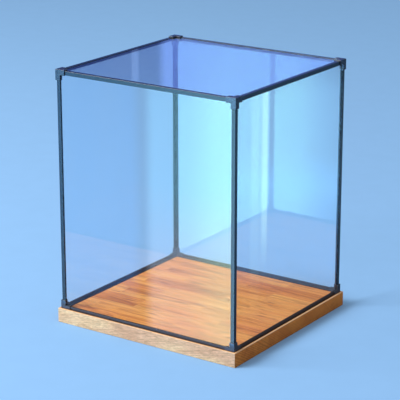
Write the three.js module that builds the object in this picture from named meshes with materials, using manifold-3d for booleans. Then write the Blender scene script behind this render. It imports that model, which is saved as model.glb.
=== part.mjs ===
// Countertop display case: a clear five-sided cover, framed in thin black edge strips and
// three-way corner connectors, that stands in a shallow groove round a wooden base board.
// Millimetres, +Z up. The origin is the middle of the board's underside, and the front is -Y.

import * as THREE from 'three';
import { mergeVertices } from 'three/addons/utils/BufferGeometryUtils.js';
import Module from 'manifold-3d';

const wasm = await Module();
wasm.setup();

// Overall size of the frame, over the outer faces of its edge strips
const frameWidth = 250;
const frameDepth = 239;
const frameHeight = 298;

// Edge strip: an L of two slotted legs, one slot for each panel that can meet at the edge
const stripLeg = 5;
const stripWall = 0.5;
const stripCornerRound = 0.4;
const stripTipRound = 0.2;

// Clear panels
const panelThickness = 1.2;
const panelSlotClearance = 0.1;
const panelEdgeGap = 0.3;

// Corner connector: three L-section sleeves that meet in a solid corner
const connectorArm = 12;
const connectorProud = 1.2;
const connectorInnerWall = 0.7;
const connectorLip = 0.5;
const connectorStop = 0.5;
const connectorChamfer = 0.4;
const socketClearance = 0.15;

// Base board, and the groove that the foot of the frame drops into
const boardThickness = 18;
const boardMargin = 4;
const boardEdgeRound = 0.6;
const grooveDepth = 3;
const grooveClearance = 0.3;
const seatGap = 0.1;

// Segments in each rounded corner
const roundSegments = 3;

// Sizes that follow from the ones above. A strip's and a connector's are measured inwards
// from the corner line of the frame.
const slotWidth = panelThickness + 2 * panelSlotClearance;
const slotFar = stripWall + slotWidth;
const legThickness = slotFar + stripWall;
const panelInset = legThickness + panelEdgeGap;
const stripEnd = stripLeg + connectorStop;
const socketLeg = stripLeg + socketClearance;
const socketThickness = legThickness + socketClearance;
const connectorLeg = socketLeg + connectorLip;
const connectorThickness = socketThickness + connectorInnerWall;
const boardWidth = frameWidth + 2 * boardMargin;
const boardDepth = frameDepth + 2 * boardMargin;
const frameFoot = boardThickness - grooveDepth + seatGap + connectorProud;
const halfFrame = [frameWidth / 2, frameDepth / 2, frameHeight / 2];

const woodFinish = new THREE.MeshStandardMaterial({ color: 0xc98a56, roughness: 0.5, metalness: 0 });
const stripFinish = new THREE.MeshStandardMaterial({ color: 0x20242a, roughness: 0.4, metalness: 0 });
const connectorFinish = new THREE.MeshStandardMaterial({ color: 0x191b1f, roughness: 0.5, metalness: 0 });
const clearFinish = new THREE.MeshStandardMaterial({
  color: 0xe8f2f6,
  roughness: 0.05,
  metalness: 0,
  transparent: true,
  opacity: 0.15,
});

// Solids

function toSolid(geometry) {
  const bare = geometry.clone();
  bare.deleteAttribute('normal');
  bare.deleteAttribute('uv');
  const merged = mergeVertices(bare, 1e-5);
  return new wasm.Manifold(new wasm.Mesh({
    numProp: 3,
    vertProperties: new Float32Array(merged.attributes.position.array),
    triVerts: new Uint32Array(merged.index.array),
  }));
}

function toGeometry(solid) {
  const mesh = solid.getMesh();
  const geometry = new THREE.BufferGeometry();
  geometry.setAttribute('position', new THREE.BufferAttribute(mesh.vertProperties, 3));
  geometry.setIndex(new THREE.BufferAttribute(mesh.triVerts, 1));
  geometry.computeVertexNormals();
  return geometry;
}

// A box given by its lowest and its highest corner
function boxBetween(low, high) {
  const size = high.map((value, axis) => value - low[axis]);
  const middle = high.map((value, axis) => (value + low[axis]) / 2);
  return new THREE.BoxGeometry(...size).translate(...middle);
}

// A closed outline through corner points; a point's third number rounds that corner
function outlineThrough(points) {
  const corners = points.map(([x, y]) => new THREE.Vector2(x, y));
  const outline = new THREE.Shape();
  points.forEach((point, index) => {
    const radius = point[2] ?? 0;
    const corner = corners[index];
    const before = corners.at(index - 1);
    const after = corners[(index + 1) % corners.length];
    const start = before.clone().sub(corner).setLength(radius).add(corner);
    const end = after.clone().sub(corner).setLength(radius).add(corner);
    if (index === 0) {
      outline.moveTo(start.x, start.y);
    } else {
      outline.lineTo(start.x, start.y);
    }
    if (radius > 0) {
      outline.quadraticCurveTo(corner.x, corner.y, end.x, end.y);
    }
  });
  outline.closePath();
  return outline;
}

// An outline in the XY plane, drawn along Z between two heights
function prismBetween(outline, low, high) {
  const settings = { depth: high - low, bevelEnabled: false, curveSegments: roundSegments };
  return new THREE.ExtrudeGeometry(outline, settings).translate(0, 0, low);
}

// The L of two equal legs: from the corner line out to -proud and in to leg and thickness
function angleOutline(proud, leg, thickness) {
  return outlineThrough([
    [-proud, -proud],
    [leg, -proud],
    [leg, thickness],
    [thickness, thickness],
    [thickness, leg],
    [-proud, leg],
  ]);
}

// The same solid along Z, X and Y, because every corner part is alike along its three edges
function alongEachAxis(geometry) {
  const turn = new THREE.Matrix4().makeBasis(
    new THREE.Vector3(0, 1, 0),
    new THREE.Vector3(0, 0, 1),
    new THREE.Vector3(1, 0, 0),
  );
  const alongX = geometry.clone().applyMatrix4(turn);
  const alongY = alongX.clone().applyMatrix4(turn);
  return [geometry, alongX, alongY].map(toSolid);
}

// Edge strips

function stripOutline() {
  return outlineThrough([
    [0, 0, stripCornerRound],
    [stripLeg, 0, stripTipRound],
    [stripLeg, stripWall],
    [legThickness, stripWall],
    [legThickness, slotFar],
    [stripLeg, slotFar],
    [stripLeg, legThickness, stripTipRound],
    [legThickness, legThickness],
    [legThickness, stripLeg, stripTipRound],
    [slotFar, stripLeg],
    [slotFar, legThickness],
    [stripWall, legThickness],
    [stripWall, stripLeg],
    [0, stripLeg, stripTipRound],
  ]);
}

function makeStrip(length) {
  return prismBetween(stripOutline(), -length / 2, length / 2);
}

// Corner connector, with its corner at the origin and its arms along +X, +Y and +Z

function makeConnector() {
  const arm = prismBetween(
    angleOutline(connectorProud, connectorLeg, connectorThickness),
    -connectorProud,
    connectorArm,
  );
  const beyond = connectorArm + connectorProud;
  const eased = prismBetween(
    outlineThrough([
      [connectorChamfer - connectorProud, -connectorProud],
      [beyond, -connectorProud],
      [beyond, beyond],
      [-connectorProud, beyond],
      [-connectorProud, connectorChamfer - connectorProud],
    ]),
    -2 * connectorProud,
    beyond,
  );
  const socket = prismBetween(
    angleOutline(socketClearance, socketLeg, socketThickness),
    stripEnd - socketClearance,
    beyond,
  );
  const panelSlot = boxBetween(
    [legThickness, legThickness, stripWall],
    [beyond, beyond, slotFar],
  );
  let body = alongEachAxis(arm).reduce((sum, next) => sum.add(next));
  alongEachAxis(eased).forEach((envelope) => {
    body = body.intersect(envelope);
  });
  [...alongEachAxis(socket), ...alongEachAxis(panelSlot)].forEach((hollow) => {
    body = body.subtract(hollow);
  });
  return toGeometry(body);
}

// Base board, with its groove as a ring that holds the connectors with a clearance

function makeBoard() {
  const halfWidth = boardWidth / 2 - boardEdgeRound;
  const halfDepth = boardDepth / 2 - boardEdgeRound;
  const outline = outlineThrough([
    [-halfWidth, -halfDepth],
    [halfWidth, -halfDepth],
    [halfWidth, halfDepth],
    [-halfWidth, halfDepth],
  ]);
  const board = new THREE.ExtrudeGeometry(outline, {
    depth: boardThickness - 2 * boardEdgeRound,
    bevelThickness: boardEdgeRound,
    bevelSize: boardEdgeRound,
    bevelSegments: roundSegments,
  }).translate(0, 0, boardEdgeRound);
  const grooveFloor = boardThickness - grooveDepth;
  const grooveBlock = (inset) => toSolid(boxBetween(
    [inset - halfFrame[0], inset - halfFrame[1], grooveFloor],
    [halfFrame[0] - inset, halfFrame[1] - inset, boardThickness + grooveDepth],
  ));
  const outer = grooveBlock(-connectorProud - grooveClearance);
  const inner = grooveBlock(connectorLeg + grooveClearance);
  return toGeometry(toSolid(board).subtract(outer.subtract(inner)));
}

// Placing. A side is named by its axis and sign: left and right are -X and +X, front and
// back -Y and +Y, bottom and top -Z and +Z.

const sideNames = [['left', 'right'], ['front', 'back'], ['bottom', 'top']];

function sideName(axis, sign) {
  return sideNames[axis][sign > 0 ? 1 : 0];
}

function axisVector(axis, length) {
  return new THREE.Vector3().setComponent(axis, length);
}

function addMesh(parent, name, geometry, finish) {
  const mesh = new THREE.Mesh(geometry, finish);
  mesh.name = name;
  parent.add(mesh);
  return mesh;
}

// Turns a part whose own axes are first, second and third so that they point as given
function turnTo(mesh, first, second, third) {
  mesh.rotation.setFromRotationMatrix(new THREE.Matrix4().makeBasis(first, second, third));
}

// The edge between two sides, with the strip's legs pointing in along both of them
function addEdgeStrip(parent, name, geometry, [axisA, signA], [axisB, signB]) {
  const strip = addMesh(parent, name, geometry, stripFinish);
  strip.position.setComponent(axisA, signA * halfFrame[axisA]);
  strip.position.setComponent(axisB, signB * halfFrame[axisB]);
  const legA = axisVector(axisA, -signA);
  const legB = axisVector(axisB, -signB);
  turnTo(strip, legA, legB, legA.clone().cross(legB));
}

function addRailsAndPosts(parent) {
  const lengths = halfFrame.map((half) => 2 * (half - stripEnd));
  const [alongX, alongY, alongZ] = lengths.map(makeStrip);
  [-1, 1].forEach((signZ) => {
    [-1, 1].forEach((sign) => {
      const level = sideName(2, signZ);
      addEdgeStrip(parent, `${level}_rail_${sideName(1, sign)}`, alongX, [1, sign], [2, signZ]);
      addEdgeStrip(parent, `${level}_rail_${sideName(0, sign)}`, alongY, [0, sign], [2, signZ]);
    });
  });
  [-1, 1].forEach((signY) => {
    [-1, 1].forEach((signX) => {
      const name = `corner_post_${sideName(1, signY)}_${sideName(0, signX)}`;
      addEdgeStrip(parent, name, alongZ, [0, signX], [1, signY]);
    });
  });
}

function addConnectors(parent) {
  const geometry = makeConnector();
  [-1, 1].forEach((signZ) => {
    [-1, 1].forEach((signY) => {
      [-1, 1].forEach((signX) => {
        const signs = [signX, signY, signZ];
        const names = [sideName(2, signZ), sideName(1, signY), sideName(0, signX)];
        const connector = addMesh(parent, `connector_${names.join('_')}`, geometry, connectorFinish);
        connector.position.set(...signs.map((sign, axis) => sign * halfFrame[axis]));
        const [inX, inY, inZ] = signs.map((sign, axis) => axisVector(axis, -sign));
        // The part is alike about its X = Y plane, so swapping two arms mirrors nothing
        if (signX * signY * signZ < 0) {
          turnTo(connector, inX, inY, inZ);
        } else {
          turnTo(connector, inY, inX, inZ);
        }
      });
    });
  });
}

// A panel that closes one side, seated in the slots of the strips round it
function addPanel(parent, axis, sign) {
  const nearFace = stripWall + panelSlotClearance;
  const size = halfFrame.map((half) => 2 * (half - panelInset));
  size[axis] = panelThickness;
  const panel = addMesh(parent, `${sideName(axis, sign)}_panel`, new THREE.BoxGeometry(...size), clearFinish);
  panel.position.setComponent(axis, sign * (halfFrame[axis] - nearFace - panelThickness / 2));
}

const displayCase = new THREE.Group();
addMesh(displayCase, 'base_board', makeBoard(), woodFinish);

const cover = new THREE.Group();
cover.position.z = frameFoot + halfFrame[2];
displayCase.add(cover);
addRailsAndPosts(cover);
addConnectors(cover);
[[0, -1], [0, 1], [1, -1], [1, 1], [2, 1]].forEach(([axis, sign]) => addPanel(cover, axis, sign));

export default displayCase;
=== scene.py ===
import math

import bmesh
import bpy
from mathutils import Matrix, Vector


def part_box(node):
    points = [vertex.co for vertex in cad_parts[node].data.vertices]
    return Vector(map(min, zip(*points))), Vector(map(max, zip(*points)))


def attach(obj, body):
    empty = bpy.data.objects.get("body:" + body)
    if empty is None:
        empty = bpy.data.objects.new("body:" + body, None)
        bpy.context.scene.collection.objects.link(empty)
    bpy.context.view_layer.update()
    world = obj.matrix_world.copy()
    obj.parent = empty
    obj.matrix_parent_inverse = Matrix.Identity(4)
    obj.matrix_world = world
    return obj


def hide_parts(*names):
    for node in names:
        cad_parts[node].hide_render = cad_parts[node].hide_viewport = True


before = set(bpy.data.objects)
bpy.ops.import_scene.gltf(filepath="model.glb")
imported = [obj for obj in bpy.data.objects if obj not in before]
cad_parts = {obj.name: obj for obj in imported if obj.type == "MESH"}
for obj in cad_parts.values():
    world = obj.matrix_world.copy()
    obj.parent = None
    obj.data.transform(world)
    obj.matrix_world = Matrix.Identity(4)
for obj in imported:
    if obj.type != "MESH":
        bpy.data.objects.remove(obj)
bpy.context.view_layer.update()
scene = bpy.context.scene
mm = 0.001
sharpAngle = 35  # degrees between two faces, past which their edge stays sharp
noiseMiddle = (0.3, 0.7)  # most of a noise's values lie between these
print("frame loaded:", len(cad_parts), "CAD nodes")

view = {
    "azimuth": 34.452,  # degrees round from the front, towards the right
    "elevation": 17.27,
    "lookAt": (-0.0026, -0.0018, 0.1466),
    "distance": 2.0322,
    "lens": 150.81,
    "sensor": 36,
}


def placeCamera():
    azimuth, elevation = math.radians(view["azimuth"]), math.radians(view["elevation"])
    towardsCamera = Vector((
        math.sin(azimuth) * math.cos(elevation),
        -math.cos(azimuth) * math.cos(elevation),
        math.sin(elevation),
    ))
    data = bpy.data.cameras.new("camera")
    data.lens = view["lens"]
    data.sensor_width = view["sensor"]
    camera = bpy.data.objects.new("camera", data)
    camera.location = Vector(view["lookAt"]) + view["distance"] * towardsCamera
    camera.rotation_euler = towardsCamera.to_track_quat("Z", "Y").to_euler()
    scene.collection.objects.link(camera)
    scene.camera = camera


def addNode(tree, kind, inputs=None, **settings):
    made = tree.nodes.new(kind)
    for key, value in settings.items():
        setattr(made, key, value)
    for key, value in (inputs or {}).items():
        if isinstance(value, bpy.types.NodeSocket):
            tree.links.new(value, made.inputs[key])
        else:
            made.inputs[key].default_value = value
    return made


def newMaterial(name):
    material = bpy.data.materials.new(name)
    material.use_nodes = True
    material.node_tree.nodes.clear()
    return material


def finishMaterial(material, shader):
    addNode(material.node_tree, "ShaderNodeOutputMaterial", {"Surface": shader})
    return material


def calculate(tree, operation, *values):
    return addNode(tree, "ShaderNodeMath", dict(enumerate(values)), operation=operation).outputs[0]


def mapValue(tree, value, low, high, toLow=0.0, toHigh=1.0, curve="SMOOTHSTEP"):
    return addNode(tree, "ShaderNodeMapRange", {
        "Value": value, "From Min": low, "From Max": high, "To Min": toLow, "To Max": toHigh,
    }, interpolation_type=curve).outputs["Result"]


def mixColours(tree, share, first, second, blend="MIX"):
    mix = addNode(tree, "ShaderNodeMix", data_type="RGBA", blend_type=blend)
    sockets = [socket for socket in mix.inputs if socket.enabled]
    for socket, value in zip(sockets, (share, first, second)):
        if isinstance(value, bpy.types.NodeSocket):
            tree.links.new(value, socket)
        else:
            socket.default_value = value
    return next(socket for socket in mix.outputs if socket.enabled)


def grey(tree, value):
    return addNode(tree, "ShaderNodeCombineColor", {
        "Red": value, "Green": value, "Blue": value,
    }).outputs[0]


def scaledNoise(tree, coordinates, stretch, scale, detail=2.0, roughness=0.5):
    # scale counts patches a metre, stretch is each axis's share of it
    placed = addNode(tree, "ShaderNodeVectorMath", {0: coordinates, 1: stretch}, operation="MULTIPLY")
    return addNode(tree, "ShaderNodeTexNoise", {
        "Vector": placed.outputs[0], "Scale": scale, "Detail": detail, "Roughness": roughness,
    })


def objectPlace(tree):
    return addNode(tree, "ShaderNodeTexCoord").outputs["Object"]


def heightOf(tree, place):
    return addNode(tree, "ShaderNodeSeparateXYZ", {0: place}).outputs["Z"]


def shaded(colour, factor):
    return tuple(channel * factor for channel in colour[:3]) + (1,)


def addHolder(name, mesh=None):
    holder = bpy.data.objects.new(name, bpy.data.meshes.new(name) if mesh is None else mesh)
    scene.collection.objects.link(holder)
    return holder


def bakeModifiers(holder):
    graph = bpy.context.evaluated_depsgraph_get()
    mesh = bpy.data.meshes.new_from_object(
        holder.evaluated_get(graph), preserve_all_data_layers=True, depsgraph=graph
    )
    mesh.name = holder.name
    holder.modifiers.clear()
    holder.data = mesh


def evenShading(holder):
    # Flats stay flat beside their small rounds
    holder.data.shade_smooth()
    holder.data.set_sharp_from_angle(angle=math.radians(sharpAngle))
    weighted = holder.modifiers.new("even shading", "WEIGHTED_NORMAL")
    weighted.keep_sharp = True
    bakeModifiers(holder)


def declarePiece(piece, body, replaced):
    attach(piece, body)
    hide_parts(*replaced)
    print(piece.name, len(piece.data.polygons), "faces")


studio = {
    "floorColour": (0.31, 0.56, 0.90, 1),
    "floorShade": 0.985,  # how much darker the floor's cloudy patches are
    "floorNoise": ((1, 1, 1), 30, 3),
    "floorMatt": 0.2,
    "floorRadius": 9.0,
    "floorSides": 96,
    "floorFade": (2.5, 7.0),  # where the floor starts and ends its change into the backdrop
    "backdropColour": (0.32, 0.58, 0.94, 1),
    "skyLight": (0.95, 0.975, 1.0, 1),
    "skyStrength": 0.5,
    "keyAim": (0, 0, 0.1),
    "keyDirection": (-0.50, -0.62, 0.60),
    "keyDistance": 3.0,
    "keySize": 1.7,
    "keyPower": 89.0,
}
mirrored = {  # what gloss and clear panels mirror, in degrees above the horizon
    "lowGround": (0.06, 0.10, 0.16, 1),
    "ground": (0.05, 0.11, 0.26, 1),
    "groundRise": (-20.8, -19.0),
    "horizon": (0.20, 0.32, 0.55, 1),
    "horizonRise": (-4.0, 4.0),
    "zenith": (0.40, 0.55, 0.80, 1),
    "skyRise": (20.0, 65.0),
}
lightPanels = {  # sides count from the front towards the left, and a fade lies outside its end
    "dark flag": {
        "sides": (132, 152), "sideFades": (12, 10), "blend": "MIX",
        "heights": (8, 24), "heightFades": (6, 10), "colour": (0.05, 0.10, 0.42, 1),
    },
    "front": {
        "sides": (31, 36.05), "sideFades": (2, 0.5),
        "heights": (-16.5, -10), "heightFades": (3.5, 8), "colour": (0.80, 2.15, 2.9, 1),
    },
    "front foot": {
        "sides": (31, 36.05), "sideFades": (2, 0.5),
        "heights": (-27, -20.0), "heightFades": (4, 3.5), "colour": (1.55, 1.80, 2.3, 1),
    },
    "front beam": {
        "sides": (31.5, 33.4), "sideFades": (1.5, 1.9),
        "heights": (-27, -10), "heightFades": (4, 8), "colour": (0.75, 1.75, 0.5, 1),
    },
    "front wall": {
        "sides": (13, 27), "sideFades": (9, 2),
        "heights": (-32, 2), "heightFades": (8, 12), "colour": (2.2, 5.4, 11.0, 1),
    },
    "left": {
        "sides": (37, 55), "sideFades": (0.6, 20),
        "heights": (-19.5, -8), "heightFades": (2, 10), "colour": (0.05, 0.50, 1.5, 1),
    },
    "back": {
        "sides": (144.4, 150), "sideFades": (0.4, 1.5),
        "heights": (11.5, 15.5), "heightFades": (2, 2), "colour": (0.15, 0.26, 0.68, 1),
    },
    "back streak": {
        "sides": (143.20, 143.34), "sideFades": (0.08, 0.12),
        "heights": (11.6, 13.2), "heightFades": (1, 1), "colour": (0.10, 0.15, 0.25, 1),
    },
    "back right": {
        "sides": (-151, -146.8), "sideFades": (1, 0.8),
        "heights": (-16.4, -13.8), "heightFades": (1.6, 1.2), "colour": (0.22, 0.55, 0.8, 1),
    },
    "back right foot": {
        "sides": (-151, -146.8), "sideFades": (1, 0.8),
        "heights": (-19.3, -17), "heightFades": (1.2, 1.5), "colour": (0.10, 0.50, 1.1, 1),
    },
    "wide streak": {
        "sides": (-147.60, -147.42), "sideFades": (0.16, 0.14),
        "heights": (-15.0, -13), "heightFades": (7, 2), "colour": (0.45, 0.80, 0.5, 1),
    },
    "narrow streak": {
        "sides": (-147.92, -147.80), "sideFades": (0.06, 0.12),
        "heights": (-17.0, -13), "heightFades": (3, 2), "colour": (1.1, 1.7, 0.8, 1),
    },
}


def makeFloor():
    # Mirrored rays pass the floor, so that gloss shows the light panels instead
    finish = newMaterial("pale floor")
    tree = finish.node_tree
    place = objectPlace(tree)
    shade = scaledNoise(tree, place, *studio["floorNoise"]).outputs["Fac"]
    pale = studio["floorColour"]
    tint = mixColours(tree, mapValue(tree, shade, *noiseMiddle), pale, shaded(pale, studio["floorShade"]))
    matt = addNode(tree, "ShaderNodeBsdfDiffuse", {"Color": tint, "Roughness": studio["floorMatt"]})
    distance = addNode(tree, "ShaderNodeVectorMath", {0: place}, operation="LENGTH")
    rim = mapValue(tree, distance.outputs["Value"], *studio["floorFade"])
    mirroredRay = addNode(tree, "ShaderNodeLightPath").outputs["Is Glossy Ray"]
    shader = addNode(tree, "ShaderNodeMixShader", {
        0: calculate(tree, "MAXIMUM", mirroredRay, rim),
        1: matt.outputs[0],
        2: addNode(tree, "ShaderNodeBsdfTransparent").outputs[0],
    })
    finishMaterial(finish, shader.outputs[0])
    mesh = bpy.data.meshes.new("floor")
    shape = bmesh.new()
    bmesh.ops.create_circle(
        shape, cap_ends=True, radius=studio["floorRadius"], segments=studio["floorSides"]
    )
    shape.to_mesh(mesh)
    shape.free()
    mesh.materials.append(finish)
    addHolder("floor", mesh)


def makeKeyLight():
    data = bpy.data.lights.new("key softbox", "AREA")
    data.shape = "SQUARE"
    data.size = studio["keySize"]
    data.energy = studio["keyPower"]
    key = bpy.data.objects.new("key softbox", data)
    direction = Vector(studio["keyDirection"]).normalized()
    key.location = Vector(studio["keyAim"]) + studio["keyDistance"] * direction
    key.rotation_euler = direction.to_track_quat("Z", "Y").to_euler()
    scene.collection.objects.link(key)


def fadedSpan(tree, value, span, fades):
    rise = mapValue(tree, value, span[0] - fades[0], span[0])
    fall = mapValue(tree, value, span[1], span[1] + fades[1], 1.0, 0.0)
    return calculate(tree, "MULTIPLY", rise, fall)


def paintMirrored(tree):
    direction = addNode(tree, "ShaderNodeTexCoord").outputs["Generated"]
    ray = addNode(tree, "ShaderNodeSeparateXYZ", {0: direction})
    left, front = [calculate(tree, "MULTIPLY", ray.outputs[axis], -1.0) for axis in "XY"]
    side = calculate(tree, "DEGREES", calculate(tree, "ARCTAN2", left, front))
    height = calculate(tree, "DEGREES", calculate(tree, "ARCSINE", ray.outputs["Z"]))
    groundShare, skyShare, aboveHorizon = [
        mapValue(tree, height, *mirrored[name]) for name in ("groundRise", "skyRise", "horizonRise")
    ]
    ground = mixColours(tree, groundShare, mirrored["lowGround"], mirrored["ground"])
    sky = mixColours(tree, skyShare, mirrored["horizon"], mirrored["zenith"])
    painted = mixColours(tree, aboveHorizon, ground, sky)
    for light in lightPanels.values():
        share = calculate(
            tree, "MULTIPLY", fadedSpan(tree, side, light["sides"], light["sideFades"]),
            fadedSpan(tree, height, light["heights"], light["heightFades"]),
        )
        painted = mixColours(tree, share, painted, light["colour"], light.get("blend", "ADD"))
    return addNode(tree, "ShaderNodeBackground", {"Color": painted, "Strength": 1.0}).outputs[0]


def makeWorld():
    world = bpy.data.worlds.new("studio")
    world.use_nodes = True
    scene.world = world
    tree = world.node_tree
    tree.nodes.clear()
    rays = addNode(tree, "ShaderNodeLightPath").outputs
    skyLight = addNode(tree, "ShaderNodeBackground", {
        "Color": studio["skyLight"], "Strength": studio["skyStrength"],
    })
    backdrop = addNode(tree, "ShaderNodeBackground", {"Color": studio["backdropColour"], "Strength": 1.0})
    seen = addNode(tree, "ShaderNodeMixShader", {
        0: calculate(tree, "MAXIMUM", rays["Is Camera Ray"], rays["Is Transmission Ray"]),
        1: skyLight.outputs[0], 2: backdrop.outputs[0],
    })
    whole = addNode(tree, "ShaderNodeMixShader", {
        0: rays["Is Glossy Ray"], 1: seen.outputs[0], 2: paintMirrored(tree),
    })
    addNode(tree, "ShaderNodeOutputWorld", {"Surface": whole.outputs[0]})


placeCamera()
makeFloor()
makeKeyLight()
makeWorld()
scene.view_settings.view_transform = "Standard"
print("studio ready")

board = {
    "thickness": 18 * mm,
    "edgeRound": 0.7 * mm,
    "grooveRound": 0.25 * mm,
    "roundSteps": 4,
    "grooveOuter": (126.5 * mm, 121.0 * mm),  # the groove's walls, as half widths and half depths
    "grooveInner": (119.05 * mm, 113.55 * mm),
    "grooveFloor": 15.0 * mm,
    "levelNormal": 0.7,  # faces that point up or down by more than this have the top's finish
    "paintedHighlightInset": (2.2 * mm, 1.32 * mm),  # from the edges, where the painted pale highlight starts and is full
    "paintedHighlightDrop": (1.0 * mm, 0.3 * mm),  # the same, below the top
    "paintedHighlightShare": 0.6,
    "paintedHighlightColour": (0.90, 0.66, 0.42, 1),
    "ringGap": 2.6 * mm,
    "ringDrift": 2.4,  # in ring gaps
    "ringNoise": {"Scale": 75, "Detail": 2},
    "heart": (0.0, -0.38, -0.50),  # the rings' middle, below the board and in front of it
    "waver": 3.5 * mm,
    "staveSize": (118 * mm, 27 * mm),
    "staveOffset": 0.37,
    "staveStart": (2.534, 1.175, 0.0),  # moves the stave pattern along and across the board
    "staveCut": (0.53, 0.31, 0.47),  # how far apart in the log neighbouring staves may come from
    "streakShare": 0.5,  # of the bands, the rest being broad
    "noises": {  # each axis's share, patches a metre, detail and roughness
        "bend": ((0.16, 1, 1), 16, 3, 0.55),
        "band": ((0.13, 1, 0.8), 56, 2, 0.5),
        "streak": ((0.05, 1, 1), 190, 4, 0.7),
        "blush": ((0.2, 1, 1), 27, 2, 0.5),
        "vein": ((0.07, 1, 1), 70, 2, 0.5),
        "fleck": ((0.15, 1, 1), 260, 2, 0.5),
        "fleckZone": ((0.6, 1, 1), 26, 1, 0.5),
        "fibre": ((0.06, 1, 1), 800, 4, 0.7),
        "pore": ((0.06, 1, 1), 2200, 1, 0.5),
    },
    "marks": {  # the values between which each mark comes up or dies away
        "blush": (0.45, 0.66),
        "ringRise": (0.3, 0.85),
        "ringFall": (0.85, 1.0),
        "lineFall": (0.004, 0.032),
        "fleck": (0.56, 0.70),
        "fleckZone": (0.48, 0.64),
        "pore": (0.62, 0.74),
    },
    "blushShare": 0.55,
    "deepShare": 0.42,
    "deepSpan": 1.6,  # how far into the darker bands the dark colour comes in, in half band spans
    "fibreMiddle": (0.25, 0.75),
    "fibreHeight": 0.5,  # beside a pore's depth of 1
    "bumpStrength": 0.35,
    "bumpDistance": 0.25 * mm,
    "roughnessSpread": (-0.06, 0.08),
    "roughnessFibre": (0.2, 0.8),
    "gloss": 0.2,
    # Each look's foot is how dark its painted shade is at the board's underside, beside 1 at the top
    "looks": {
        "oiled board top": {
            "light": (1.0, 0.46, 0.11, 1), "middle": (0.86, 0.31, 0.055, 1),
            "ruddy": (0.88, 0.28, 0.075, 1), "dark": (0.36, 0.095, 0.02, 1),
            "stave": 0.20, "staveBreak": 1.0, "bandSpan": 0.24, "slope": 0.0,
            "ringShare": 0.16, "lineShare": 0.45, "fleckShare": 0.80, "poreShare": 0.30,
            "fibreShade": (0.84, 1.18), "foot": 1.0, "roughness": 0.5,
        },
        "planed long edge": {
            "light": (0.95, 0.71, 0.42, 1), "middle": (0.82, 0.54, 0.30, 1),
            "ruddy": (0.74, 0.42, 0.29, 1), "dark": (0.42, 0.25, 0.14, 1),
            "stave": 0.04, "staveBreak": 0.0, "bandSpan": 0.24, "slope": 0.17,
            "ringShare": 0.22, "lineShare": 0.26, "fleckShare": 0.40, "poreShare": 0.50,
            "fibreShade": (0.72, 1.30), "foot": 0.96, "roughness": 0.62,
        },
        "sawn end grain": {
            "light": (0.84, 0.28, 0.045, 1), "middle": (0.66, 0.20, 0.029, 1),
            "ruddy": (0.60, 0.155, 0.024, 1), "dark": (0.28, 0.08, 0.014, 1),
            "stave": 0.0, "staveBreak": 0.0, "bandSpan": 0.55, "slope": 0.0,
            "ringShare": 0.42, "lineShare": 0.25, "fleckShare": 0.30, "poreShare": 0.35,
            "fibreShade": (0.82, 1.20), "foot": 0.76, "roughness": 0.68,
        },
    },
}


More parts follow.
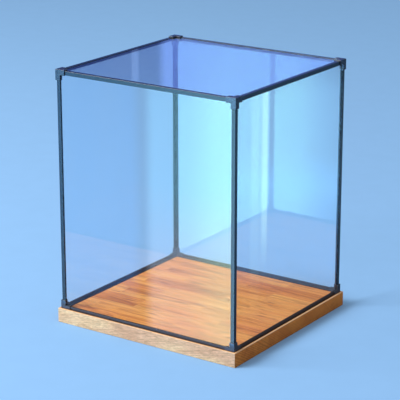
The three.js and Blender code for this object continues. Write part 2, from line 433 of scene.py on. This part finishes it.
def makeGrain():
    # Solid wood: growth rings round a far heart line along X, with bands, lines, flecks and pores along it
    tree = bpy.data.node_groups.new("solid wood grain", "ShaderNodeTree")
    for name in ("Slope", "Stave Break"):
        tree.interface.new_socket(name, in_out="INPUT", socket_type="NodeSocketFloat")
    for name in ("Band", "Stave", "Blush", "Ring", "Line", "Fleck", "Fibre", "Pore"):
        tree.interface.new_socket(name, in_out="OUTPUT", socket_type="NodeSocketFloat")
    given = addNode(tree, "NodeGroupInput").outputs
    straight = objectPlace(tree)
    laid = addNode(tree, "ShaderNodeVectorMath", {0: straight, 1: board["staveStart"]}, operation="ADD")
    staves = addNode(tree, "ShaderNodeTexBrick", {
        "Vector": laid.outputs[0], "Color1": (0, 0, 0, 1), "Color2": (1, 1, 1, 1), "Scale": 1.0,
        "Mortar Size": 0.0, "Brick Width": board["staveSize"][0], "Row Height": board["staveSize"][1],
    }, offset=board["staveOffset"]).outputs["Color"]
    length = addNode(tree, "ShaderNodeSeparateXYZ", {0: straight}).outputs["X"]
    drop = calculate(tree, "MULTIPLY", length, given["Slope"])
    sloped = addNode(tree, "ShaderNodeVectorMath", {
        0: straight, 1: addNode(tree, "ShaderNodeCombineXYZ", {"Y": drop, "Z": drop}).outputs[0],
    }, operation="SUBTRACT").outputs[0]
    cut = addNode(tree, "ShaderNodeVectorMath", {
        0: board["staveCut"], "Scale": calculate(tree, "MULTIPLY", staves, given["Stave Break"]),
    }, operation="SCALE").outputs[0]
    place = addNode(tree, "ShaderNodeVectorMath", {0: sloped, 1: cut}, operation="ADD").outputs[0]
    waver, noises, marks = board["waver"], board["noises"], board["marks"]
    shift = addNode(tree, "ShaderNodeVectorMath", {
        0: scaledNoise(tree, place, *noises["bend"]).outputs["Color"],
        1: (0.0, waver, waver), 2: (0.0, -waver / 2, -waver / 2),
    }, operation="MULTIPLY_ADD")
    bent = addNode(tree, "ShaderNodeVectorMath", {0: place, 1: shift.outputs[0]}, operation="ADD").outputs[0]
    fromHeart = addNode(tree, "ShaderNodeVectorMath", {0: bent, 1: board["heart"]}, operation="SUBTRACT")
    across = addNode(tree, "ShaderNodeVectorMath", {
        0: fromHeart.outputs[0], 1: (0, 1, 1),
    }, operation="MULTIPLY")
    radius = addNode(tree, "ShaderNodeVectorMath", {
        0: across.outputs[0],
    }, operation="LENGTH").outputs["Value"]
    uneven = addNode(tree, "ShaderNodeTexNoise", {"W": radius, **board["ringNoise"]}, noise_dimensions="1D")
    rings = calculate(tree, "DIVIDE", radius, board["ringGap"])
    turns = calculate(tree, "MULTIPLY_ADD", uneven.outputs["Fac"], board["ringDrift"], rings)
    saw = calculate(tree, "FRACT", turns)
    band, streak, vein, fleck, fibre, pore = [
        scaledNoise(tree, bent, *noises[name]).outputs["Fac"]
        for name in ("band", "streak", "vein", "fleck", "fibre", "pore")
    ]
    blush, fleckZone = [
        scaledNoise(tree, place, *noises[name]).outputs["Fac"] for name in ("blush", "fleckZone")
    ]
    veinGap = calculate(tree, "ABSOLUTE", calculate(tree, "SUBTRACT", vein, 0.5))
    broad = calculate(tree, "MULTIPLY", band, 1 - board["streakShare"])
    results = {
        "Band": calculate(tree, "MULTIPLY_ADD", streak, board["streakShare"], broad),
        "Stave": calculate(tree, "SUBTRACT", staves, 0.5),
        "Blush": mapValue(tree, blush, *marks["blush"]),
        "Ring": calculate(
            tree, "MULTIPLY", mapValue(tree, saw, *marks["ringRise"]),
            mapValue(tree, saw, *marks["ringFall"], 1.0, 0.0),
        ),
        "Line": mapValue(tree, veinGap, *marks["lineFall"], 1.0, 0.0),
        "Fleck": calculate(
            tree, "MULTIPLY", mapValue(tree, fleck, *marks["fleck"]),
            mapValue(tree, fleckZone, *marks["fleckZone"]),
        ),
        "Fibre": fibre,
        "Pore": mapValue(tree, pore, *marks["pore"]),
    }
    out = addNode(tree, "NodeGroupOutput")
    for name, value in results.items():
        tree.links.new(value, out.inputs[name])
    return tree


def paintedHighlightShare(tree):
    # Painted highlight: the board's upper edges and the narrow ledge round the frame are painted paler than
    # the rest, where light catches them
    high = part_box("base_board")[1]
    side = addNode(tree, "ShaderNodeSeparateXYZ", {0: objectPlace(tree)}).outputs
    start, full = board["paintedHighlightInset"]
    shares = []
    for axis, end in (("X", high.x), ("Y", high.y)):
        distance = calculate(tree, "ABSOLUTE", side[axis])
        shares.append(mapValue(tree, distance, end - start, end - full))
    outer = calculate(tree, "MAXIMUM", *shares)
    start, full = board["paintedHighlightDrop"]
    upper = mapValue(tree, side["Z"], high.z - start, high.z - full, 0.0, board["paintedHighlightShare"])
    return calculate(tree, "MULTIPLY", outer, upper)


def makeWood(name, grainGroup):
    look = board["looks"][name]
    material = newMaterial(name)
    tree = material.node_tree
    group = addNode(tree, "ShaderNodeGroup", node_tree=grainGroup)
    group.inputs["Slope"].default_value = look["slope"]
    group.inputs["Stave Break"].default_value = look["staveBreak"]
    pattern = group.outputs
    tone = calculate(tree, "MULTIPLY_ADD", pattern["Stave"], look["stave"], pattern["Band"])
    span = look["bandSpan"] / 2
    colour = mixColours(tree, mapValue(tree, tone, 0.5 - span, 0.5 + span), look["light"], look["middle"])
    blush = calculate(tree, "MULTIPLY", pattern["Blush"], board["blushShare"])
    colour = mixColours(tree, blush, colour, look["ruddy"])
    deep = mapValue(tree, tone, 0.5, 0.5 + board["deepSpan"] * span, 0.0, board["deepShare"])
    colour = mixColours(tree, deep, colour, look["dark"])
    for mark in ("Ring", "Line", "Fleck", "Pore"):
        share = calculate(tree, "MULTIPLY", pattern[mark], look[mark.lower() + "Share"])
        colour = mixColours(tree, share, colour, look["dark"])
    # Painted highlight on the board's upper edges and the ledge round the frame
    colour = mixColours(tree, paintedHighlightShare(tree), colour, board["paintedHighlightColour"])
    fibre = pattern["Fibre"]
    height = heightOf(tree, objectPlace(tree))
    # The fibres' random tone, times painted shade that darkens each face towards the board's underside by
    # the look's foot factor
    shade = calculate(
        tree, "MULTIPLY", mapValue(tree, fibre, *board["fibreMiddle"], *look["fibreShade"], "LINEAR"),
        mapValue(tree, height, 0.0, board["thickness"], look["foot"], 1.0, "LINEAR"),
    )
    colour = mixColours(tree, 1.0, colour, grey(tree, shade), "MULTIPLY")
    raised = calculate(tree, "MULTIPLY", fibre, board["fibreHeight"])
    bump = addNode(tree, "ShaderNodeBump", {
        "Height": calculate(tree, "SUBTRACT", raised, pattern["Pore"]),
        "Strength": board["bumpStrength"], "Distance": board["bumpDistance"],
    })
    roughness = [look["roughness"] + change for change in board["roughnessSpread"]]
    shader = addNode(tree, "ShaderNodeBsdfPrincipled", {
        "Base Color": colour,
        "Roughness": mapValue(tree, fibre, *board["roughnessFibre"], *roughness, "LINEAR"),
        "Normal": bump.outputs[0],
        "Specular IOR Level": board["gloss"],
    })
    return finishMaterial(material, shader.outputs[0])


def roundedRing(shape, halfWidth, halfDepth, height, corner, steps):
    # One closed ring of corners, counter-clockwise seen from above
    ring = []
    for signX, signY, start in ((1, 1, 0), (-1, 1, 90), (-1, -1, 180), (1, -1, 270)):
        for step in range(steps + 1):
            angle = math.radians(start + 90 * step / steps)
            ring.append(shape.verts.new((
                signX * (halfWidth - corner) + corner * math.cos(angle),
                signY * (halfDepth - corner) + corner * math.sin(angle),
                height,
            )))
    return ring


def joinRings(shape, lower, upper):
    count = len(lower)
    for i in range(count):
        j = (i + 1) % count
        shape.faces.new((lower[i], lower[j], upper[j], upper[i]))


def quarterRound(radius, steps):
    # Steps round a quarter circle: how far in, and how far up
    for step in range(steps + 1):
        angle = math.radians(90 * step / steps)
        yield radius * (1 - math.sin(angle)), radius * (1 - math.cos(angle))


def boardStations():
    # Half width, half depth and height of each ring, from the underside up, into the groove and out of it
    low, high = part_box("base_board")
    edge = list(quarterRound(board["edgeRound"], board["roundSteps"]))
    lip = list(quarterRound(board["grooveRound"], board["roundSteps"]))
    (outerX, outerY), (innerX, innerY) = board["grooveOuter"], board["grooveInner"]
    floor = board["grooveFloor"]
    stations = [(high.x - inset, high.y - inset, low.z + rise) for inset, rise in edge]
    stations += [(high.x - inset, high.y - inset, high.z - drop) for inset, drop in reversed(edge)]
    stations += [(outerX + inset, outerY + inset, high.z - drop) for inset, drop in lip]
    stations += [(outerX, outerY, floor), (innerX, innerY, floor)]
    stations += [(innerX - inset, innerY - inset, high.z - drop) for inset, drop in reversed(lip)]
    return stations


def makeBoard(grainGroup):
    shape = bmesh.new()
    rings = [
        roundedRing(shape, x, y, z, board["edgeRound"], board["roundSteps"]) for x, y, z in boardStations()
    ]
    for lower, upper in zip(rings, rings[1:]):
        joinRings(shape, lower, upper)
    shape.faces.new(reversed(rings[0]))
    shape.faces.new(rings[-1])
    bmesh.ops.recalc_face_normals(shape, faces=shape.faces)
    top, longEdge, endGrain = range(len(board["looks"]))
    for face in shape.faces:
        if abs(face.normal.z) > board["levelNormal"]:
            face.material_index = top
        else:
            face.material_index = longEdge if abs(face.normal.y) > abs(face.normal.x) else endGrain
    mesh = bpy.data.meshes.new("wooden_board")
    shape.to_mesh(mesh)
    shape.free()
    for name in board["looks"]:
        mesh.materials.append(makeWood(name, grainGroup))
    piece = addHolder("wooden_board", mesh)
    evenShading(piece)
    declarePiece(piece, "base", ["base_board"])


makeBoard(makeGrain())


def newTree(name, sockets):
    tree = bpy.data.node_groups.new(name, "GeometryNodeTree")
    for label, kind in sockets.items():
        tree.interface.new_socket(label, in_out="INPUT", socket_type="NodeSocket" + kind)
    tree.interface.new_socket("Geometry", in_out="OUTPUT", socket_type="NodeSocketGeometry")
    return tree, addNode(tree, "NodeGroupInput").outputs


def endTree(tree, geometry, material):
    realized = addNode(tree, "GeometryNodeRealizeInstances", {"Geometry": geometry})
    finished = addNode(tree, "GeometryNodeSetMaterial", {
        "Geometry": realized.outputs[0], "Material": material,
    })
    addNode(tree, "NodeGroupOutput", {"Geometry": finished.outputs[0]})


def addTree(holder, tree, values):
    # Inputs are set by their sockets' identifiers, before the object is first evaluated
    modifier = holder.modifiers.new(tree.name, "NODES")
    modifier.node_group = tree
    for item in tree.interface.items_tree:
        if item.in_out == "INPUT" and item.name in values:
            modifier[item.identifier] = values[item.name]


def chosenByIndex(tree, values):
    # A number for each point, in the order of the list
    switch = addNode(tree, "GeometryNodeIndexSwitch", data_type="FLOAT")
    while len(switch.index_switch_items) < len(values):
        switch.index_switch_items.new()
    tree.links.new(addNode(tree, "GeometryNodeInputIndex").outputs[0], switch.inputs["Index"])
    for index, value in enumerate(values):
        socket = switch.inputs[index + 1]
        if isinstance(value, bpy.types.NodeSocket):
            tree.links.new(value, socket)
        else:
            socket.default_value = value
    return switch.outputs[0]


def outlineCurve(tree, corners, roundSteps=1):
    # A closed outline through corners, each given as across, up and the radius that rounds it
    line = addNode(tree, "GeometryNodeMeshLine", {"Count": len(corners)})
    acrossValues, upValues, radii = zip(*corners)
    place = addNode(tree, "ShaderNodeCombineXYZ", {
        "X": chosenByIndex(tree, acrossValues), "Y": chosenByIndex(tree, upValues),
    })
    moved = addNode(tree, "GeometryNodeSetPosition", {
        "Geometry": line.outputs[0], "Position": place.outputs[0],
    })
    curve = addNode(tree, "GeometryNodeMeshToCurve", {"Mesh": moved.outputs[0]})
    closed = addNode(tree, "GeometryNodeSetSplineCyclic", {"Geometry": curve.outputs[0], "Cyclic": True})
    if not any(radii):
        return closed.outputs[0]
    return addNode(tree, "GeometryNodeFilletCurve", {
        "Curve": closed.outputs[0], "Count": roundSteps,
        "Radius": chosenByIndex(tree, radii), "Limit Radius": True,
    }, mode="POLY").outputs[0]


def drawnAlongZ(tree, outline, low, high):
    line = addNode(tree, "GeometryNodeCurvePrimitiveLine", {
        "Start": addNode(tree, "ShaderNodeCombineXYZ", {"Z": low}).outputs[0],
        "End": addNode(tree, "ShaderNodeCombineXYZ", {"Z": high}).outputs[0],
    })
    return addNode(tree, "GeometryNodeCurveToMesh", {
        "Curve": line.outputs[0], "Profile Curve": outline, "Fill Caps": True,
    }).outputs[0]


levelNames, endNames, sideNames = ("bottom", "top"), ("front", "back"), ("left", "right")
caseFrame = {
    "size": (250 * mm, 239 * mm, 298 * mm),
    "centre": (0, 0, 165.3 * mm),
}
strip = {
    "leg": 5.0 * mm,
    "wall": 0.5 * mm,
    "slot": 1.4 * mm,
    "cornerRound": 0.4 * mm,
    "tipRound": 0.2 * mm,
    "roundSteps": 4,
    "endGap": 5.5 * mm,  # from the frame's corner to the strip's end, inside its connector
    # Black, with a blue tint that is painted light from the blue studio
    "colour": (0.007, 0.010, 0.016, 1),
    "cloudShade": 1.3,  # how much lighter the coat's cloudy patches are
    "cloudNoise": ((1, 1, 1), 60, 3, 0.55),
    "lineStretch": 0.02,
    "lineNoise": (2600, 3, 0.6),
    "roughness": (0.21, 0.24),
    "lineRoughness": (-0.03, 0.04),
    "bumpStrength": 0.12,
    "bumpDistance": 0.05 * mm,
    "ior": 1.6,
    "gloss": 0.75,
    "footHeights": (22 * mm, 30 * mm),  # the frame's foot is handled and dusted most, so duller, and takes a painted warm reflection of the wooden board
    "footDullness": 0.38,
    # Painted reflection: the warm tint the black strips take from the wooden board near the foot
    "footWoodReflection": (0.024, 0.009, 0.002, 1),
}


# 1 at the frame's foot, falling to 0 above it: for duller gloss, and on the strips for the painted wood
# reflection
def footDullingAndReflection(tree, place, atFoot):
    return mapValue(tree, heightOf(tree, place), *strip["footHeights"], atFoot, 0.0)


def makeStripFinish(name, alongAxis):
    # Satin black coat, tinted blue as painted light from the blue studio, with faint drawing lines that run
    # along the strip
    material = newMaterial(name)
    tree = material.node_tree
    place = objectPlace(tree)
    stretch = [1.0, 1.0, 1.0]
    stretch[alongAxis] = strip["lineStretch"]
    lines = scaledNoise(tree, place, stretch, *strip["lineNoise"]).outputs["Fac"]
    cloud = scaledNoise(tree, place, *strip["cloudNoise"]).outputs["Fac"]
    paler = shaded(strip["colour"], strip["cloudShade"])
    colour = mixColours(tree, mapValue(tree, cloud, *noiseMiddle), strip["colour"], paler)
    # Painted reflection of the wooden board, warm at the frame's foot
    colour = mixColours(tree, footDullingAndReflection(tree, place, 1.0), colour, strip["footWoodReflection"])
    roughness = calculate(
        tree, "ADD", mapValue(tree, lines, *noiseMiddle, *strip["lineRoughness"], "LINEAR"),
        mapValue(tree, cloud, *noiseMiddle, *strip["roughness"], "LINEAR"),
    )
    bump = addNode(tree, "ShaderNodeBump", {
        "Height": lines, "Strength": strip["bumpStrength"], "Distance": strip["bumpDistance"],
    })
    shader = addNode(tree, "ShaderNodeBsdfPrincipled", {
        "Base Color": colour,
        "Roughness": calculate(tree, "ADD", roughness, footDullingAndReflection(tree, place, strip["footDullness"])),
        "Normal": bump.outputs[0], "IOR": strip["ior"], "Specular IOR Level": strip["gloss"],
    })
    return finishMaterial(material, shader.outputs[0])


def makeStripTree():
    tree, given = newTree("slotted strips", {
        "Leg": "Float", "Wall": "Float", "Slot": "Float", "Corner Round": "Float", "Tip Round": "Float",
        "Length": "Float", "Across": "Float", "Up": "Float",
        "Centre": "Vector", "Turn": "Vector", "Material": "Material",
    })
    leg, wall, tip = given["Leg"], given["Wall"], given["Tip Round"]
    far = calculate(tree, "ADD", wall, given["Slot"])  # the slot's inner side
    thick = calculate(tree, "ADD", far, wall)
    outline = outlineCurve(tree, [
        (0.0, 0.0, given["Corner Round"]), (leg, 0.0, tip), (leg, wall, 0.0), (thick, wall, 0.0),
        (thick, far, 0.0), (leg, far, 0.0), (leg, thick, tip), (thick, thick, tip),
        (thick, leg, tip), (far, leg, 0.0), (far, thick, 0.0), (wall, thick, 0.0),
        (wall, leg, 0.0), (0.0, leg, tip),
    ], strip["roundSteps"])
    half = calculate(tree, "MULTIPLY", given["Length"], 0.5)
    oneStrip = drawnAlongZ(tree, outline, calculate(tree, "MULTIPLY", half, -1.0), half)
    corners = addNode(tree, "GeometryNodeCurvePrimitiveQuadrilateral", {
        "Width": given["Across"], "Height": given["Up"],
    })
    quarter = calculate(
        tree, "MULTIPLY_ADD", addNode(tree, "GeometryNodeInputIndex").outputs[0], math.pi / 2, math.pi
    )
    turned = addNode(tree, "FunctionNodeEulerToRotation", {
        0: addNode(tree, "ShaderNodeCombineXYZ", {"Z": quarter}).outputs[0],
    })
    copies = addNode(tree, "GeometryNodeInstanceOnPoints", {
        "Points": corners.outputs[0], "Instance": oneStrip, "Rotation": turned.outputs[0],
    })
    placed = addNode(tree, "GeometryNodeTransform", {
        "Geometry": copies.outputs[0], "Translation": given["Centre"],
        "Rotation": addNode(tree, "FunctionNodeEulerToRotation", {0: given["Turn"]}).outputs[0],
    })
    endTree(tree, placed.outputs[0], given["Material"])
    return tree


def makeStrips():
    tree = makeStripTree()
    width, depth, height = caseFrame["size"]
    ends = 2 * strip["endGap"]
    quarter = math.pi / 2
    families = {  # the strips' axis and length, then the frame's size across and up once they are turned
        "width_rails": (0, width - ends, height, depth, (0, quarter, 0)),
        "depth_rails": (1, depth - ends, width, height, (-quarter, 0, 0)),
        "corner_posts": (2, height - ends, width, depth, (0, 0, 0)),
    }
    replaced = {
        "width_rails": [f"{level}_rail_{end}" for level in levelNames for end in endNames],
        "depth_rails": [f"{level}_rail_{side}" for level in levelNames for side in sideNames],
        "corner_posts": [f"corner_post_{end}_{side}" for end in endNames for side in sideNames],
    }
    for name, (axis, length, across, up, turn) in families.items():
        piece = addHolder(name)
        addTree(piece, tree, {
            "Leg": strip["leg"], "Wall": strip["wall"], "Slot": strip["slot"],
            "Corner Round": strip["cornerRound"], "Tip Round": strip["tipRound"],
            "Length": length, "Across": across, "Up": up,
            "Centre": caseFrame["centre"], "Turn": turn,
            "Material": makeStripFinish(f"drawn black strip {'xyz'[axis]}", axis),
        })
        bakeModifiers(piece)
        evenShading(piece)
        declarePiece(piece, "cover", replaced[name])


makeStrips()

connector = {
    "arm": 12.0 * mm,
    "proud": 1.2 * mm,  # of the strips' outer faces
    "leg": 5.65 * mm,
    "thickness": 3.25 * mm,
    "socketClearance": 0.15 * mm,
    "socketStart": 5.35 * mm,
    "socketLeg": 5.15 * mm,
    "socketThickness": 2.55 * mm,
    "slotNear": 0.5 * mm,
    "slotFar": 1.9 * mm,
    "slotFrom": 2.4 * mm,
    "edgeRound": 0.3 * mm,
    "edgeAngle": 40,  # degrees between two faces, past which their edge is rounded
    "flatAngle": 1,
    "roundSteps": 3,
    "mergeDistance": 0.001 * mm,
    "colour": (0.014, 0.015, 0.022, 1),
    "cloudShade": 1.3,
    "cloudNoise": ((1, 1, 1), 240, 2, 0.5),
    "skinNoise": ((1, 1, 1), 5200, 3, 0.6),
    "roughness": (0.23, 0.33),
    "bumpStrength": 0.2,
    "bumpDistance": 0.04 * mm,
    "ior": 1.6,
    "gloss": 0.95,
}


def makeConnectorFinish():
    # Moulded plastic with a fine spark-eroded skin
    material = newMaterial("moulded black connector")
    tree = material.node_tree
    place = objectPlace(tree)
    skin = scaledNoise(tree, place, *connector["skinNoise"]).outputs["Fac"]
    cloud = scaledNoise(tree, place, *connector["cloudNoise"]).outputs["Fac"]
    paler = shaded(connector["colour"], connector["cloudShade"])
    colour = mixColours(tree, mapValue(tree, cloud, *noiseMiddle), connector["colour"], paler)
    bump = addNode(tree, "ShaderNodeBump", {
        "Height": skin, "Strength": connector["bumpStrength"], "Distance": connector["bumpDistance"],
    })
    roughness = mapValue(tree, cloud, *noiseMiddle, *connector["roughness"], "LINEAR")
    shader = addNode(tree, "ShaderNodeBsdfPrincipled", {
        "Base Color": colour,
        "Roughness": calculate(tree, "ADD", roughness, footDullingAndReflection(tree, place, strip["footDullness"])),
        "Normal": bump.outputs[0],
        "IOR": connector["ior"], "Specular IOR Level": connector["gloss"],
    })
    return finishMaterial(material, shader.outputs[0])


def threeWays(tree, geometry):
    # The same solid along Z, X and Y. Its coordinates change places, which keeps shared faces level
    place = addNode(tree, "GeometryNodeInputPosition").outputs[0]
    side = addNode(tree, "ShaderNodeSeparateXYZ", {0: place}).outputs
    copies = [geometry]
    for order in ("ZXY", "YZX"):
        swapped = addNode(tree, "ShaderNodeCombineXYZ", {
            axis: side[source] for axis, source in zip("XYZ", order)
        })
        copies.append(addNode(tree, "GeometryNodeSetPosition", {
            "Geometry": geometry, "Position": swapped.outputs[0],
        }).outputs[0])
    return copies


def combine(tree, operation, first, others):
    boolean = addNode(tree, "GeometryNodeMeshBoolean", operation=operation, solver="EXACT")
    if first is not None:
        tree.links.new(first, boolean.inputs["Mesh 1"])
    for other in others:
        tree.links.new(other, boolean.inputs["Mesh 2"])
    return addNode(tree, "GeometryNodeMergeByDistance", {
        "Geometry": boolean.outputs["Mesh"], "Distance": connector["mergeDistance"],
    }).outputs[0]


def angleOutline(tree, outside, leg, thick):
    return outlineCurve(tree, [
        (outside, outside, 0.0), (leg, outside, 0.0), (leg, thick, 0.0),
        (thick, thick, 0.0), (thick, leg, 0.0), (outside, leg, 0.0),
    ])


def makeSleeveTree():
    tree, given = newTree("three sleeves", {
        "Arm": "Float", "Proud": "Float", "Leg": "Float", "Thickness": "Float", "Material": "Material",
    })
    outside = calculate(tree, "MULTIPLY", given["Proud"], -1.0)
    arm = drawnAlongZ(
        tree, angleOutline(tree, outside, given["Leg"], given["Thickness"]), outside, given["Arm"]
    )
    endTree(tree, combine(tree, "UNION", None, threeWays(tree, arm)), given["Material"])
    return tree


def makeCornerTree():
    tree, given = newTree("eight hollow corners", {
        "Geometry": "Geometry", "Clearance": "Float", "Start": "Float", "Leg": "Float", "Thickness": "Float",
        "Slot Near": "Float", "Slot Far": "Float", "Slot From": "Float", "Reach": "Float",
        "Frame Size": "Vector", "Centre": "Vector", "Material": "Material",
    })
    outside = calculate(tree, "MULTIPLY", given["Clearance"], -1.0)
    reach, start = given["Reach"], given["Slot From"]
    sleeve = drawnAlongZ(
        tree, angleOutline(tree, outside, given["Leg"], given["Thickness"]), given["Start"], reach
    )
    slot = drawnAlongZ(tree, outlineCurve(tree, [
        (start, start, 0.0), (reach, start, 0.0), (reach, reach, 0.0), (start, reach, 0.0),
    ]), given["Slot Near"], given["Slot Far"])
    hollow = combine(tree, "DIFFERENCE", given["Geometry"], threeWays(tree, sleeve) + threeWays(tree, slot))
    corners = addNode(tree, "GeometryNodeMeshCube", {"Size": given["Frame Size"]})
    signs = addNode(tree, "ShaderNodeVectorMath", {
        0: addNode(tree, "GeometryNodeInputPosition").outputs[0],
    }, operation="SIGN")
    side = addNode(tree, "ShaderNodeSeparateXYZ", {0: signs.outputs[0]})
    above = calculate(tree, "GREATER_THAN", side.outputs["Z"], 0.0)
    # The arms point into the case: a quarter turn on at each corner, and upside down at the top
    diagonal = calculate(tree, "ARCTAN2", side.outputs["Y"], side.outputs["X"])
    turnZ = calculate(tree, "ADD", diagonal, calculate(
        tree, "MULTIPLY_ADD", above, -1.5 * math.pi, 0.75 * math.pi
    ))
    turn = addNode(tree, "FunctionNodeEulerToRotation", {
        0: addNode(tree, "ShaderNodeCombineXYZ", {
            "X": calculate(tree, "MULTIPLY", above, math.pi), "Z": turnZ,
        }).outputs[0],
    })
    copies = addNode(tree, "GeometryNodeInstanceOnPoints", {
        "Points": corners.outputs["Mesh"], "Instance": hollow, "Rotation": turn.outputs[0],
    })
    placed = addNode(tree, "GeometryNodeTransform", {
        "Geometry": copies.outputs[0], "Translation": given["Centre"],
    })
    endTree(tree, placed.outputs[0], given["Material"])
    return tree


def makeConnectors():
    piece = addHolder("corner_connectors")
    finish = makeConnectorFinish()
    addTree(piece, makeSleeveTree(), {
        "Arm": connector["arm"], "Proud": connector["proud"],
        "Leg": connector["leg"], "Thickness": connector["thickness"], "Material": finish,
    })
    flats = piece.modifiers.new("join flats", "DECIMATE")
    flats.decimate_type = "DISSOLVE"
    flats.angle_limit = math.radians(connector["flatAngle"])
    soften = piece.modifiers.new("soften edges", "BEVEL")
    soften.width = connector["edgeRound"]
    soften.segments = connector["roundSteps"]
    soften.limit_method = "ANGLE"
    soften.angle_limit = math.radians(connector["edgeAngle"])
    addTree(piece, makeCornerTree(), {
        "Clearance": connector["socketClearance"], "Start": connector["socketStart"],
        "Leg": connector["socketLeg"], "Thickness": connector["socketThickness"],
        "Slot Near": connector["slotNear"], "Slot Far": connector["slotFar"],
        "Slot From": connector["slotFrom"], "Reach": connector["arm"] + connector["proud"],
        "Frame Size": caseFrame["size"], "Centre": caseFrame["centre"], "Material": finish,
    })
    bakeModifiers(piece)
    evenShading(piece)
    declarePiece(piece, "cover", [
        f"connector_{level}_{end}_{side}" for level in levelNames for end in endNames for side in sideNames
    ])


makeConnectors()

panel = {
    "tint": (0.975, 0.988, 0.995, 1),
    "straightMirror": 0.039,  # what each face mirrors when looked at squarely
    "fallPower": 4.6,  # how fast that grows as the panel is seen more slantwise
    "dustNoise": ((1, 1, 0.35), 22, 4, 0.6),  # in faint upright wiping strokes
    "dustRange": (0.35, 0.75),
    "dustShare": (0.001, 0.010),
    "dustColour": (0.8, 0.8, 0.8, 1),
}


def makeClearFinish():
    material = newMaterial("clear cast panel")
    tree = material.node_tree
    slant = addNode(tree, "ShaderNodeLayerWeight", {"Blend": 0.5}).outputs["Facing"]
    mirrorShare = calculate(
        tree, "MULTIPLY_ADD", calculate(tree, "POWER", slant, panel["fallPower"]),
        1 - panel["straightMirror"], panel["straightMirror"],
    )
    clear = addNode(tree, "ShaderNodeMixShader", {
        0: mirrorShare,
        1: addNode(tree, "ShaderNodeBsdfTransparent", {"Color": panel["tint"]}).outputs[0],
        2: addNode(tree, "ShaderNodeBsdfGlossy", {"Color": (1, 1, 1, 1), "Roughness": 0.0}).outputs[0],
    })
    wiped = scaledNoise(tree, objectPlace(tree), *panel["dustNoise"]).outputs["Fac"]
    dusty = addNode(tree, "ShaderNodeMixShader", {
        0: mapValue(tree, wiped, *panel["dustRange"], *panel["dustShare"]),
        1: clear.outputs[0],
        2: addNode(tree, "ShaderNodeBsdfDiffuse", {"Color": panel["dustColour"]}).outputs[0],
    })
    return finishMaterial(material, dusty.outputs[0])


def finishPanels():
    finish = makeClearFinish()
    for side in endNames + sideNames + ("top",):
        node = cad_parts[side + "_panel"]
        for slot in node.material_slots:
            slot.material = finish
        node.visible_shadow = False  # lamps and bounced light pass the clear panels
        node.visible_diffuse = False


finishPanels()
print("panels ready")
